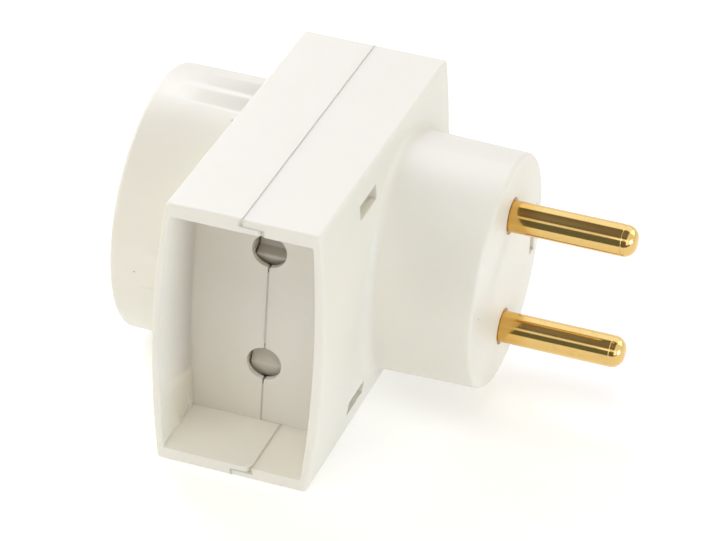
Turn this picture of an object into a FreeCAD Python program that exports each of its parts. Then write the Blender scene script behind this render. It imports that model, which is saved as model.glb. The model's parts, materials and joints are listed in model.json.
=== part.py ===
"""Two-way mains plug adapter: one two-pin plug feeding an end outlet and a side outlet.

Frame, in millimetres: the origin is the centre of the plug face, midway between the pins.
+X runs along the pins, away from the face. -Y is the side that the side outlet opens to.
+Z is up; the adapter stands on the flat underside of its block.
"""
import FreeCAD, Part
import os
import math
import Sketcher
from FreeCAD import Placement, Rotation, Vector

doc = FreeCAD.newDocument("plug_adapter")

# Driving dimensions, one named value each
SIZES = {
    # plug pins
    "pin_pitch": 19.0,
    "pin_radius": 2.4,
    "pin_length": 19.0,
    "pin_fit": 0.04,
    "pin_shank_radius": 2.5,
    "pin_ring_radius": 2.8,
    "pin_ring_depth": 0.4,
    "pin_tip_flat": 0.5,
    "collar_radius": 3.3,
    "collar_length": 2.6,
    "tail_radius": 1.5,
    "tail_head_radius": 2.4,
    "tail_head_height": 1.0,
    "tail_fit": 0.04,
    # round plug body
    "plug_length": 17.5,
    "plug_face_radius": 17.8,
    "plug_base_radius": 18.2,
    "plug_rim_round": 0.6,
    "plug_root_round": 1.5,
    "plug_wall": 2.6,
    "plug_bore_draft": 0.4,
    "face_wall": 2.6,
    "boss_radius": 4.4,
    "boss_depth": 11.0,
    # block between the plug and the drum
    "block_width": 22.8,
    "block_height": 42.6,
    "block_bulge": 1.5,
    "block_edge_round": 0.5,
    "mouth_reach": 36.6,
    "rear_reach": 21.0,
    "shell_wall": 2.0,
    "side_wall": 1.3,
    "recess_side_wall": 0.9,
    "inner_bulge": 1.0,
    # drum that carries the end outlet
    "drum_length": 14.7,
    "drum_radius": 20.45,
    "drum_rim_round": 0.7,
    "drum_wall": 1.95,
    "drum_lip_round": 0.4,
    # both outlets
    "recess_depth": 12.4,
    "floor_wall": 0.9,
    "hole_radius": 2.65,
    "nick_half": 0.4,
    "nick_depth": 0.55,
    # lap joint between the two shells
    "seam_gap": 0.22,
    "seam_front_round": 0.75,
    "seam_rear_round": 0.7,
    "seam_rear_small_round": 0.4,
    "lap_reach": 3.0,
    "lap_thickness": 0.9,
    "lap_fit": 0.1,
    "lap_end_gap": 0.3,
    "lap_corner_round": 1.2,
    # mark of an ejector pin in the side recess
    "mark_radius": 3.2,
    "mark_from_front": 8.5,
    "mark_below": 15.8,
    "mark_sink": 0.55,
    # snap hooks and their slots
    "snap_width": 7.0,
    "snap_front": 13.4,
    "snap_height": 2.3,
    "snap_level": 16.6,
    "snap_arm": 0.8,
    "snap_bend": 2.2,
    "snap_fit": 0.3,
    "snap_ledge": 0.7,
    "snap_sink": 2.0,
    "snap_pad_thick": 3.2,
    "snap_pad_edge": 0.8,
    "face_snap_width": 8.2,
    "face_snap_reach": 14.7,
    # shutter slides
    "shutter_gap": 0.3,
    "shutter_thick": 3.6,
    "shutter_half": 2.4,
    "window_half": 1.8,
    "wing_above": 2.9,
    "wing_below": 3.0,
    "crest_round": 0.4,
    "underside_set_back": 0.5,
    "upper_crest_below": 1.5,
    "upper_knee_below": 0.7,
    "upper_knee_depth": 1.6,
    "upper_ramp_depth": 2.3,
    "lower_crest_below": 0.8,
    "lower_knee_below": 0.2,
    "lower_knee_depth": 0.3,
    "lower_ramp_depth": 1.2,
    "guide_gap": 0.3,
    "cheek_thick": 1.4,
    "cheek_half": 5.4,
    "back_thick": 1.4,
    "seat_thick": 1.3,
    "seat_half": 1.5,
    "divider_thick": 1.5,
    # return springs
    "wire_radius": 0.21,
    "coil_radius": 0.95,
    "coil_pitch": 2.2,
    "spring_play": 0.05,
    # brass contacts
    "strip_thick": 0.8,
    "strip_half": 3.3,
    "strip_level": 13.4,
    "fork_thick": 0.6,
    "fork_start": 6.7,
    "fork_length": 11.2,
    "fork_gap": 2.05,
    "fork_flare": 0.75,
    "fork_drop": 7.2,
    "fork_base_start": 8.7,
    "rivet_offset": 12.9,
    "rivet_radius": 1.0,
    "rivet_head_radius": 1.75,
    "rivet_head_height": 0.7,
    "rivet_tail_height": 0.5,
    "rivet_fit": 0.03,
    "post_half": 1.5,
    "post_length": 2.6,
}

# Sides of a spring wire's section
WIRE_SIDES = 6

sheet = doc.addObject("Spreadsheet::Sheet", "dims")
for row, (alias, value) in enumerate(SIZES.items(), start=1):
    sheet.set(f"A{row}", alias)
    sheet.set(f"B{row}", str(value))
    sheet.setAlias(f"B{row}", alias)
doc.recompute()

# Places that several pieces share, as expressions of the sheet
SEAM = "(-dims.plug_length - dims.block_width / 2)"
PLUG_SEAM = f"({SEAM} + dims.seam_gap / 2)"
DRUM_SEAM = f"({SEAM} - dims.seam_gap / 2)"
SIDE = "(-dims.plug_length)"
FAR = "(-dims.plug_length - dims.block_width)"
TOP = "(dims.block_height / 2)"
FRONT = "(-dims.mouth_reach)"
REAR = "(dims.rear_reach)"
INNER_TOP = f"({TOP} - dims.shell_wall)"
INNER_REAR = f"({REAR} - dims.shell_wall)"
END = f"({FAR} - dims.drum_length)"
SIDE_FLOOR = f"({FRONT} + dims.recess_depth)"
END_FLOOR = f"({END} + dims.recess_depth)"
SIDE_INSIDE = f"({SIDE_FLOOR} + dims.floor_wall)"
END_INSIDE = f"({END_FLOOR} + dims.floor_wall)"
POLE = "(dims.pin_pitch / 2)"
BORE_BASE = "(dims.plug_base_radius - dims.plug_wall)"
BORE_FACE = f"({BORE_BASE} - dims.plug_bore_draft)"
# Distances in from an outlet's recess floor, the same in both outlets
SLIDE_FRONT = "(dims.floor_wall + dims.shutter_gap)"
SLIDE_BACK = f"({SLIDE_FRONT} + dims.shutter_thick)"
GUIDE_BACK = f"({SLIDE_BACK} + dims.shutter_gap)"
GUIDE_END = f"({GUIDE_BACK} + dims.back_thick)"
CHEEK = "(dims.shutter_half + dims.guide_gap)"
HOLE_CHEEK = f"({POLE} + dims.hole_radius + dims.guide_gap)"
SEAT_TOP = f"(-{POLE} + dims.wing_above + dims.guide_gap + dims.seat_thick)"
WINDOW_TOP = "(dims.pin_pitch / 2 - dims.wing_below)"
STRIP_TOP = "(dims.strip_level + dims.strip_thick)"
TAB_FACE = "(-dims.boss_depth - dims.collar_length)"


def number(expression):
    """Value of an expression of the sheet."""
    return float(sheet.evalExpression(expression))


def bow(chord, rise):
    """Radius of an arc over a chord with a given rise."""
    return f"(({chord}) ^ 2 / (8 * ({rise})) + ({rise}) / 2)"


def new_body(label):
    """Empty body with its label."""
    body = doc.addObject("PartDesign::Body", label)
    body.Label = label
    return body


def sketch_on(body, role, offset="0"):
    """Sketch on one of the body's origin planes, moved along the plane's normal."""
    plane = next(item for item in body.Origin.OriginFeatures if item.Role == role)
    sketch = body.newObject("Sketcher::SketchObject", "Sketch")
    sketch.AttachmentSupport = [(plane, "")]
    sketch.MapMode = "FlatFace"
    sketch.setExpression("AttachmentOffset.Base.z", offset)
    return sketch


def bind(sketch, constraint, expression):
    """Add a dimension to a sketch and tie it to an expression."""
    index = sketch.addConstraint(constraint)
    sketch.setExpression(f"Constraints[{index}]", expression)


def locate(sketch, geometry, end, place):
    """Hold one point of a sketch at a place given by two expressions."""
    across, up = place
    bind(sketch, Sketcher.Constraint("DistanceX", -1, 1, geometry, end, number(across)), across)
    bind(sketch, Sketcher.Constraint("DistanceY", -1, 1, geometry, end, number(up)), up)


def outline(sketch, corners, arcs=None):
    """Closed outline through the corners; arcs maps an edge's number to its radius.

    An edge runs from its own corner to the next. An arc bows to the right of that way,
    so an outline drawn anticlockwise bows outwards.
    """
    arcs = arcs or {}
    points = [Vector(number(across), number(up), 0) for across, up in corners]
    joints = []
    for edge, start in enumerate(points):
        finish = points[(edge + 1) % len(points)]
        if edge in arcs:
            radius = number(arcs[edge])
            chord = finish - start
            left = Vector(-chord.y, chord.x, 0).normalize()
            centre = (start + finish) * 0.5 + left * math.sqrt(radius ** 2 - chord.Length ** 2 / 4)
            first = math.atan2(start.y - centre.y, start.x - centre.x)
            last = math.atan2(finish.y - centre.y, finish.x - centre.x)
            last += 2 * math.pi if last < first else 0
            circle = Part.Circle(centre, Vector(0, 0, 1), radius)
            number_of = sketch.addGeometry(Part.ArcOfCircle(circle, first, last), False)
            bind(sketch, Sketcher.Constraint("Radius", number_of, radius), arcs[edge])
        else:
            number_of = sketch.addGeometry(Part.LineSegment(start, finish), False)
        joints.append(number_of)
    for edge, geometry in enumerate(joints):
        following = joints[(edge + 1) % len(joints)]
        sketch.addConstraint(Sketcher.Constraint("Coincident", geometry, 2, following, 1))
        locate(sketch, geometry, 1, corners[edge])


def rectangle(sketch, low, high):
    """Rectangle between two opposite corners."""
    outline(sketch, [low, (high[0], low[1]), high, (low[0], high[1])])


def circle(sketch, centre, radius):
    """Full circle held by its centre and radius."""
    place = Vector(number(centre[0]), number(centre[1]), 0)
    ring = sketch.addGeometry(Part.Circle(place, Vector(0, 0, 1), number(radius)), False)
    bind(sketch, Sketcher.Constraint("Radius", ring, number(radius)), radius)
    locate(sketch, ring, 3, centre)


def prism(body, role, low, high, draw, remove=False):
    """Pad or pocket of one sketch between two levels along the plane's axis.

    The XZ plane's normal points along -Y, so its sketch starts at the higher level.
    """
    offset = f"-({high})" if role == "XZ_Plane" else low
    sketch = sketch_on(body, role, offset)
    draw(sketch)
    doc.recompute()
    before = body.Shape.Volume if not body.Shape.isNull() else 0.0
    feature = body.newObject("PartDesign::Pocket" if remove else "PartDesign::Pad", "Prism")
    feature.Profile = sketch
    feature.Reversed = remove
    feature.setExpression("Length", f"({high}) - ({low})")
    doc.recompute()
    changed = before - body.Shape.Volume if remove else body.Shape.Volume - before
    if changed <= 0:
        raise RuntimeError(f"a prism of {body.Label} changed nothing")
    return feature


def turned(body, corners, remove=False, role="XZ_Plane", arcs=None):
    """Revolution or groove of a profile about the plane's first axis."""
    sketch = sketch_on(body, role)
    outline(sketch, corners, arcs)
    doc.recompute()
    before = body.Shape.Volume if not body.Shape.isNull() else 0.0
    feature = body.newObject("PartDesign::Groove" if remove else "PartDesign::Revolution", "Turned")
    feature.Profile = sketch
    feature.ReferenceAxis = (sketch, ["H_Axis"])
    feature.Angle = 360
    doc.recompute()
    if (before > body.Shape.Volume) != remove:
        raise RuntimeError(f"a turned form of {body.Label} changed nothing")
    return feature


def rounded(body, radius, wanted):
    """Fillet the edges of the body's tip that the test picks."""
    base = body.Tip
    edges = [f"Edge{i}" for i, edge in enumerate(base.Shape.Edges, start=1) if wanted(edge)]
    if not edges:
        raise RuntimeError(f"no edge to round on {body.Label}")
    feature = body.newObject("PartDesign::Fillet", "Fillet")
    feature.Base = (base, edges)
    feature.setExpression("Radius", radius)
    doc.recompute()
    if not feature.isValid():
        raise RuntimeError(f"a fillet of {body.Label} failed")
    return feature


def ring_at(x, radius):
    """Test for a full circle about the X axis at a given place."""
    def test(edge):
        box = edge.BoundBox
        return (abs(box.XMin - x) < 1e-3 and abs(box.XMax - x) < 1e-3
                and abs(edge.Length - 2 * math.pi * radius) < 1e-2)
    return test


def corner_rounded(body, corner, ways, radius, low, high):
    """Round one upright corner of a body over part of its height.

    The ways are the signs in which the body lies from the corner, along X and along Y.
    """
    x, y = corner
    way_x, way_y = ways
    past_x = f"({x} - ({way_x}dims.lap_fit))"
    past_y = f"({y} - ({way_y}dims.lap_fit))"
    along_x = f"({x} + ({way_x}{radius}))"
    along_y = f"({y} + ({way_y}{radius}))"
    corners = [(along_x, y), (x, along_y), (past_x, along_y), (past_x, past_y), (along_x, past_y)]
    if way_x == way_y:
        corners = [(x, along_y), (along_x, y), (along_x, past_y), (past_x, past_y), (past_x, along_y)]
    prism(body, "XY_Plane", low, high, lambda s: outline(s, corners, {0: radius}), remove=True)


def half_section(sketch, seam, side, top, rise):
    """Half of the block's bowed section, from the seam to one side."""
    edge_radius = bow(f"2 * {top}", rise)
    if number(side) > number(seam):
        corners = [(seam, f"-{top}"), (side, f"-{top}"), (side, top), (seam, top)]
        outline(sketch, corners, {1: edge_radius})
    else:
        corners = [(side, top), (side, f"-{top}"), (seam, f"-{top}"), (seam, top)]
        outline(sketch, corners, {0: edge_radius})


def block_half(body, seam, side):
    """Solid half of the block, with its outer edges rounded."""
    prism(body, "XZ_Plane", FRONT, REAR, lambda s: half_section(s, seam, side, TOP, "dims.block_bulge"))

    def outer(edge):
        box = edge.BoundBox
        on_seam = box.XLength < 1e-3 and abs(box.XMin - number(seam)) < 1e-3
        return not on_seam
    rounded(body, "dims.block_edge_round", outer)


def pole_circles(sketch, across, radius):
    """Two circles, one on each pole's axis."""
    for sign in ("", "-"):
        circle(sketch, (across, f"{sign}{POLE}"), radius)


def side_floor_holes(body):
    """Half of the side outlet's two holes, with the nicks where the seam meets them."""
    prism(body, "XZ_Plane", SIDE_FLOOR, SIDE_INSIDE,
          lambda s: pole_circles(s, SEAM, "dims.hole_radius"), remove=True)
    half = "dims.nick_half"
    for pole in (POLE, f"-{POLE}"):
        for way in ("+", "-"):
            rim = f"({pole} {way} (dims.hole_radius - dims.nick_half / 2))"
            point = f"({rim} {way} dims.nick_depth)"
            corners = [(f"{SEAM} - {half}", rim), (f"{SEAM} + {half}", rim), (SEAM, point)]
            if way == "-":
                corners.reverse()
            prism(body, "XZ_Plane", SIDE_FLOOR, SIDE_INSIDE, lambda s: outline(s, corners), remove=True)


def side_guide(body, seam, way):
    """One shell's half of the channel that the side shutter slides in."""
    inner = f"({SEAM} {way} {CHEEK})"
    outer = f"({inner} {way} dims.cheek_thick)"
    high = "dims.cheek_half"
    near, far = (inner, outer) if way == "+" else (outer, inner)
    prism(body, "XZ_Plane", f"{SIDE_INSIDE} - dims.lap_fit", f"{SIDE_FLOOR} + {GUIDE_END}",
          lambda s: rectangle(s, (near, f"-{high}"), (far, high)))
    prism(body, "XZ_Plane", f"{SIDE_INSIDE} - dims.lap_fit", f"{SIDE_FLOOR} + {SLIDE_BACK}",
          lambda s: rectangle(s, (near, f"-{HOLE_CHEEK}"), (far, HOLE_CHEEK)))
    near, far = (seam, outer) if way == "+" else (outer, seam)
    prism(body, "XZ_Plane", f"{SIDE_FLOOR} + {GUIDE_BACK}", f"{SIDE_FLOOR} + {GUIDE_END}",
          lambda s: rectangle(s, (near, f"-{high}"), (far, high)))


def plug_shell():
    """Moulded half with the plug body: half block, round plug, bosses, divider and slots."""
    body = new_body("plug_shell")
    block_half(body, PLUG_SEAM, SIDE)
    turned(body, [(PLUG_SEAM, "0"), ("0", "0"), ("0", "dims.plug_face_radius"),
                  (SIDE, "dims.plug_base_radius"), (PLUG_SEAM, "dims.plug_base_radius")])
    rounded(body, "dims.plug_rim_round", ring_at(0, number("dims.plug_face_radius")))

    def root(edge):
        box = edge.BoundBox
        reach = number("dims.plug_base_radius")
        return (box.XMax < number(f"{SIDE} + dims.block_bulge") + 0.1 and box.XMin > number(SIDE) - 0.1
                and edge.Length > 2 and box.ZMax < reach + 0.1 and box.ZMin > -reach - 0.1
                and abs(box.YMin) < reach + 0.1 and abs(box.YMax) < reach + 0.1)
    rounded(body, "dims.plug_root_round", root)

    recess_side = f"({SIDE} - dims.recess_side_wall)"
    chamber_side = f"({SIDE} - dims.side_wall)"
    prism(body, "XZ_Plane", FRONT, SIDE_FLOOR,
          lambda s: half_section(s, SEAM, recess_side, INNER_TOP, "dims.inner_bulge"), remove=True)
    prism(body, "XZ_Plane", SIDE_INSIDE, INNER_REAR,
          lambda s: half_section(s, SEAM, chamber_side, INNER_TOP, "dims.inner_bulge"), remove=True)
    turned(body, [(SEAM, "0"), ("-dims.face_wall", "0"), ("-dims.face_wall", BORE_FACE),
                  (SIDE, BORE_BASE), (SEAM, BORE_BASE)], remove=True)

    # Bosses behind the face, the divider between the poles and the posts that hold the strips
    prism(body, "YZ_Plane", "-dims.boss_depth", "-dims.face_wall",
          lambda s: pole_circles(s, "0", "dims.boss_radius"))
    divider = "(dims.divider_thick / 2)"
    divider_end = "(dims.face_snap_reach - dims.snap_height - dims.snap_fit)"
    prism(body, "YZ_Plane", PLUG_SEAM, "-dims.face_wall",
          lambda s: rectangle(s, (f"{SIDE_FLOOR} + {GUIDE_END}", f"-{divider}"), (divider_end, divider)))

    # Channel behind each shutter, with the seat that its spring stands on
    side_guide(body, PLUG_SEAM, "+")
    high = "dims.cheek_half"
    seat_low = f"({SEAT_TOP} - dims.seat_thick)"
    prism(body, "YZ_Plane", f"{END_FLOOR} + {GUIDE_BACK}", f"{SEAM} + dims.lap_reach",
          lambda s: rectangle(s, (f"-{CHEEK}", f"-{high}"), (CHEEK, high)))
    prism(body, "YZ_Plane", f"{END_FLOOR} + {SLIDE_FRONT}", f"{END_FLOOR} + {GUIDE_END}",
          lambda s: rectangle(s, ("-dims.seat_half", seat_low), ("dims.seat_half", SEAT_TOP)))
    prism(body, "XZ_Plane", f"{SIDE_FLOOR} + {SLIDE_FRONT}", f"{SIDE_FLOOR} + {GUIDE_END}",
          lambda s: rectangle(s, (f"{SEAM} - dims.seat_half", seat_low),
                              (f"{SEAM} + dims.seat_half", SEAT_TOP)))
    post_far = f"({chamber_side} - dims.post_length)"
    for sign in (1, -1):
        low = "0" if sign > 0 else "-dims.strip_level"
        high = "dims.strip_level" if sign > 0 else "0"
        prism(body, "XY_Plane", low, high,
              lambda s: rectangle(s, (post_far, "-dims.post_half"),
                                  (chamber_side, "dims.post_half")))
        low = STRIP_TOP if sign > 0 else f"-{INNER_TOP} - dims.lap_fit"
        high = f"{INNER_TOP} + dims.lap_fit" if sign > 0 else f"-{STRIP_TOP}"
        prism(body, "XY_Plane", low, high,
              lambda s: rectangle(s, (post_far, "-dims.post_half"),
                                  (chamber_side, "dims.post_half")))
    side_floor_holes(body)
    prism(body, "YZ_Plane", "-dims.boss_depth", "0",
          lambda s: pole_circles(s, "0", "dims.pin_shank_radius + dims.pin_fit"), remove=True)
    prism(body, "YZ_Plane", "-dims.pin_ring_depth", "0",
          lambda s: pole_circles(s, "0", "dims.pin_ring_radius"), remove=True)

    # Slots that the snap hooks spring into, each with a thick pad behind the side wall
    front = "(-dims.snap_front - dims.snap_width)"
    back = "(-dims.snap_front)"
    arm = "(dims.snap_arm / 2 + dims.snap_fit)"
    edge = "dims.snap_pad_edge"
    for sign in ("", "-"):
        level = f"({sign}dims.snap_level)"
        pad_low = f"{level} - dims.snap_height / 2 - {edge}"
        pad_high = f"{level} + dims.snap_height / 2 + {edge}"
        prism(body, "YZ_Plane", f"{SIDE} - dims.snap_pad_thick", f"{chamber_side} + dims.inner_bulge",
              lambda s: rectangle(s, (f"{front} - {edge}", pad_low), (f"{back} + {edge}", pad_high)))
        prism(body, "YZ_Plane", f"{SIDE} - dims.snap_pad_thick", f"{SIDE} + dims.block_bulge",
              lambda s: rectangle(s, (front, f"{level} - {arm}"), (back, f"{level} + {arm}")), remove=True)
        prism(body, "YZ_Plane", f"{SIDE} - dims.snap_sink", f"{SIDE} + dims.block_bulge",
              lambda s: rectangle(s, (front, f"{level} - dims.snap_height / 2"),
                                  (back, f"{level} + dims.snap_height / 2")), remove=True)
    reach = "dims.face_snap_reach"
    wide = "(dims.face_snap_width / 2)"
    prism(body, "YZ_Plane", "-dims.face_wall", "0",
          lambda s: rectangle(s, (f"{reach} - dims.snap_arm - 2 * dims.snap_fit", f"-{wide}"), (reach, wide)),
          remove=True)
    prism(body, "YZ_Plane", "-dims.face_wall / 2", "0",
          lambda s: rectangle(s, (f"{reach} - dims.snap_height", f"-{wide}"), (reach, wide)), remove=True)

    # Rebate for the other shell's tongue, and the hair gap of the seam
    lap_high = f"({INNER_TOP} + dims.lap_thickness + dims.lap_fit)"
    rebate = f"({SEAM} + dims.lap_reach + dims.lap_end_gap)"
    lap_rear = f"({INNER_REAR} + dims.lap_thickness + dims.lap_fit)"
    for sign in (1, -1):
        low = INNER_TOP if sign > 0 else f"-{lap_high}"
        high = lap_high if sign > 0 else f"-{INNER_TOP}"
        prism(body, "XY_Plane", low, high,
              lambda s: rectangle(s, (SEAM, FRONT), (rebate, lap_rear)), remove=True)
    prism(body, "XZ_Plane", INNER_REAR, lap_rear,
          lambda s: rectangle(s, (SEAM, f"-{INNER_TOP}"), (rebate, INNER_TOP)), remove=True)
    corner_rounded(body, (PLUG_SEAM, REAR), ("", "-"), "dims.seam_rear_round", f"-{TOP}", TOP)
    return body


def outlet_shell():
    """Moulded half with the drum: half block, round recess, tongue and snap hooks."""
    body = new_body("outlet_shell")
    block_half(body, DRUM_SEAM, FAR)
    turned(body, [(END, "0"), (DRUM_SEAM, "0"), (DRUM_SEAM, "dims.drum_radius"), (END, "dims.drum_radius")])
    rounded(body, "dims.drum_rim_round", ring_at(number(END), number("dims.drum_radius")))
    recess_radius = "(dims.drum_radius - dims.drum_wall)"
    turned(body, [(END, "0"), (END_FLOOR, "0"), (END_FLOOR, recess_radius), (END, recess_radius)],
           remove=True)
    rounded(body, "dims.drum_lip_round", ring_at(number(END), number(recess_radius)))

    recess_side = f"({FAR} + dims.recess_side_wall)"
    prism(body, "XZ_Plane", FRONT, SIDE_FLOOR,
          lambda s: half_section(s, SEAM, recess_side, INNER_TOP, "dims.inner_bulge"), remove=True)
    prism(body, "XZ_Plane", SIDE_INSIDE, INNER_REAR,
          lambda s: rectangle(s, (END_INSIDE, f"-{INNER_TOP}"), (SEAM, INNER_TOP)), remove=True)
    prism(body, "YZ_Plane", END_FLOOR, END_INSIDE,
          lambda s: pole_circles(s, "0", "dims.hole_radius"), remove=True)
    mark = (f"{FRONT} + dims.mark_from_front", "-dims.mark_below")
    prism(body, "YZ_Plane", f"{recess_side} - dims.mark_sink", recess_side,
          lambda s: circle(s, mark, "dims.mark_radius"), remove=True)

    # Channels that the two shutters slide in; the side seat of the other shell stands in a notch
    side_guide(body, DRUM_SEAM, "-")
    seat_gap = "(dims.seat_half + dims.guide_gap)"
    prism(body, "XZ_Plane", f"{SIDE_FLOOR} + {GUIDE_BACK}", f"{SIDE_FLOOR} + {GUIDE_END}",
          lambda s: rectangle(s, (f"{SEAM} - {seat_gap}", f"{SEAT_TOP} - dims.seat_thick - dims.guide_gap"),
                              (SEAM, f"{SEAT_TOP} + dims.guide_gap")), remove=True)
    for way in ("", "-"):
        near = f"{way}{CHEEK}"
        far = f"{way}({CHEEK} + dims.cheek_thick)"
        low, high = (near, far) if way == "" else (far, near)
        prism(body, "YZ_Plane", f"{END_INSIDE} - dims.lap_fit", f"{END_FLOOR} + {GUIDE_END}",
              lambda s: rectangle(s, (low, "-dims.cheek_half"), (high, "dims.cheek_half")))
        prism(body, "YZ_Plane", f"{END_INSIDE} - dims.lap_fit", f"{END_FLOOR} + {SLIDE_BACK}",
              lambda s: rectangle(s, (low, f"-{HOLE_CHEEK}"), (high, HOLE_CHEEK)))
    side_floor_holes(body)

    # Tongue that laps inside the other shell's top, bottom and rear walls
    tongue = f"({SEAM} + dims.lap_reach)"
    rooted = f"({SEAM} - dims.lap_reach)"
    lap_high = f"({INNER_TOP} + dims.lap_thickness)"
    for sign in (1, -1):
        low = INNER_TOP if sign > 0 else f"-{lap_high}"
        high = lap_high if sign > 0 else f"-{INNER_TOP}"
        prism(body, "XY_Plane", low, high,
              lambda s: rectangle(s, (rooted, FRONT), (tongue, f"{INNER_REAR} + dims.lap_thickness")))
        corner_rounded(body, (tongue, FRONT), ("-", ""), "dims.lap_corner_round", low, high)
    prism(body, "XZ_Plane", INNER_REAR, f"{INNER_REAR} + dims.lap_thickness",
          lambda s: rectangle(s, (rooted, f"-{INNER_TOP}"), (tongue, INNER_TOP)))
    corner_rounded(body, (DRUM_SEAM, FRONT), ("-", ""), "dims.seam_front_round", lap_high, TOP)
    corner_rounded(body, (DRUM_SEAM, REAR), ("-", "-"), "dims.seam_rear_small_round", f"-{TOP}", TOP)

    # Snap arms along the top and bottom walls, bent in to the slots, with a nose at the end
    front = "(-dims.snap_front - dims.snap_width + dims.snap_fit)"
    back = "(-dims.snap_front - dims.snap_fit)"
    arm = "(dims.snap_arm / 2)"
    tall = "(dims.snap_height / 2 - dims.lap_fit)"
    nose_start = f"({SIDE} - dims.snap_sink + dims.lap_fit)"
    tip = f"({nose_start} + dims.snap_ledge)"
    outside = f"({INNER_TOP} - dims.lap_fit)"
    inside = f"({outside} - dims.snap_arm)"
    level = "dims.snap_level"
    bend = f"({SEAM} + {CHEEK} + dims.guide_gap)"
    for sign in ("", "-"):
        corners = [(END_INSIDE, inside), (bend, inside), (f"{bend} + dims.snap_bend", f"{level} - {arm}"),
                   (nose_start, f"{level} - {arm}"), (nose_start, f"{level} - {tall}"),
                   (tip, f"{level} - {arm}"), (tip, f"{level} + {arm}"), (nose_start, f"{level} + {tall}"),
                   (nose_start, f"{level} + {arm}"), (f"{bend} + dims.snap_bend + {arm}", f"{level} + {arm}"),
                   (f"{bend} + {arm}", outside), (SEAM, outside), (SEAM, f"{INNER_TOP} + dims.lap_fit"),
                   (END_INSIDE, f"{INNER_TOP} + dims.lap_fit")]
        corners = [(across, f"{sign}({up})") for across, up in corners]
        prism(body, "XZ_Plane", front, back, lambda s: outline(s, corners if not sign else corners[::-1]))
    reach = "dims.face_snap_reach"
    wide = "(dims.face_snap_width / 2 - dims.snap_fit)"
    outer = f"({reach} - dims.snap_fit)"
    ledge = "(-dims.face_wall / 2 + dims.lap_fit)"
    prism(body, "YZ_Plane", f"{END_INSIDE} - dims.lap_fit", f"{ledge} + dims.snap_ledge",
          lambda s: rectangle(s, (f"{outer} - dims.snap_arm", f"-{wide}"), (outer, wide)))
    prism(body, "XY_Plane", f"-{wide}", wide,
          lambda s: outline(s, [(ledge, f"{reach} - dims.snap_height + dims.lap_fit"),
                                (f"{ledge} + dims.snap_ledge", f"{outer} - dims.snap_arm"),
                                (f"{ledge} + dims.snap_ledge", outer), (ledge, outer)]))
    return body


def plug_pin(label, sign):
    """Turned brass pin: rounded tip, thicker shank in the boss, collar and a riveted tail."""
    body = new_body(label)
    tip = "dims.pin_length"
    collar_back = TAB_FACE
    tail_back = f"({TAB_FACE} - dims.strip_thick)"
    head_back = f"({tail_back} - dims.tail_head_height)"
    tip_radius = "(dims.pin_radius - dims.pin_tip_flat)"
    corners = [(head_back, "0"), (tip, "0"), (tip, "dims.pin_tip_flat"),
               (f"{tip} - {tip_radius}", "dims.pin_radius"), ("0", "dims.pin_radius"),
               ("0", "dims.pin_shank_radius"),
               ("-dims.boss_depth", "dims.pin_shank_radius"), ("-dims.boss_depth", "dims.collar_radius"),
               (collar_back, "dims.collar_radius"), (collar_back, "dims.tail_radius"),
               (tail_back, "dims.tail_radius"), (tail_back, "dims.tail_head_radius"),
               (f"{head_back} + dims.tail_fit", "dims.tail_head_radius / 2"),
               (head_back, "dims.tail_radius / 2")]
    turned(body, corners, arcs={2: tip_radius})
    body.setExpression("Placement.Base.z", f"{sign}{POLE}")
    return body


def bus_strip(label, sign):
    """Stamped brass strip: web with two arms, and a tab that takes the pin's tail."""
    body = new_body(label)
    low = f"{sign}dims.strip_level" if not sign else f"-{STRIP_TOP}"
    high = STRIP_TOP if not sign else "-dims.strip_level"
    half = "dims.strip_half"
    far_end = f"({END_FLOOR} + dims.fork_base_start)"
    near_end = f"({TAB_FACE})"
    arm_end = f"({SIDE_FLOOR} + dims.fork_base_start)"
    corners = [(far_end, f"-{half}"), (f"{SEAM} - {half}", f"-{half}"), (f"{SEAM} - {half}", arm_end),
               (f"{SEAM} + {half}", arm_end), (f"{SEAM} + {half}", f"-{half}"), (near_end, f"-{half}"),
               (near_end, half), (far_end, half)]
    prism(body, "XY_Plane", low, high, lambda s: outline(s, corners))
    tab_low = f"{sign}({POLE} - dims.collar_radius)"
    ends = (tab_low, high) if not sign else (low, tab_low)
    prism(body, "YZ_Plane", f"{TAB_FACE} - dims.strip_thick", TAB_FACE,
          lambda s: rectangle(s, (f"-{half}", ends[0]), (half, ends[1])))
    prism(body, "YZ_Plane", f"{TAB_FACE} - dims.strip_thick", TAB_FACE,
          lambda s: circle(s, ("0", f"{sign}{POLE}"), "dims.tail_radius + dims.tail_fit"), remove=True)
    for place in ((f"{END_FLOOR} + dims.rivet_offset", "0"), (SEAM, f"{SIDE_FLOOR} + dims.rivet_offset")):
        prism(body, "XY_Plane", low, high,
              lambda s: circle(s, place, "dims.rivet_radius + dims.rivet_fit"), remove=True)
    return body


def seat(body, outlet, lower):
    """Place a body modelled at an outlet's recess floor, with +Y as the way a plug goes in."""
    turn = Rotation(Vector(0, 1, 0), 180) if lower else Rotation()
    if outlet == "end":
        turn = Rotation(Vector(0, 0, 1), -90) * turn
        place = (END_FLOOR, "0")
    else:
        place = (SEAM, SIDE_FLOOR)
    body.Placement = Placement(Vector(0, 0, 0), turn)
    body.setExpression("Placement.Base.x", place[0])
    body.setExpression("Placement.Base.y", place[1])
    return body


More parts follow.
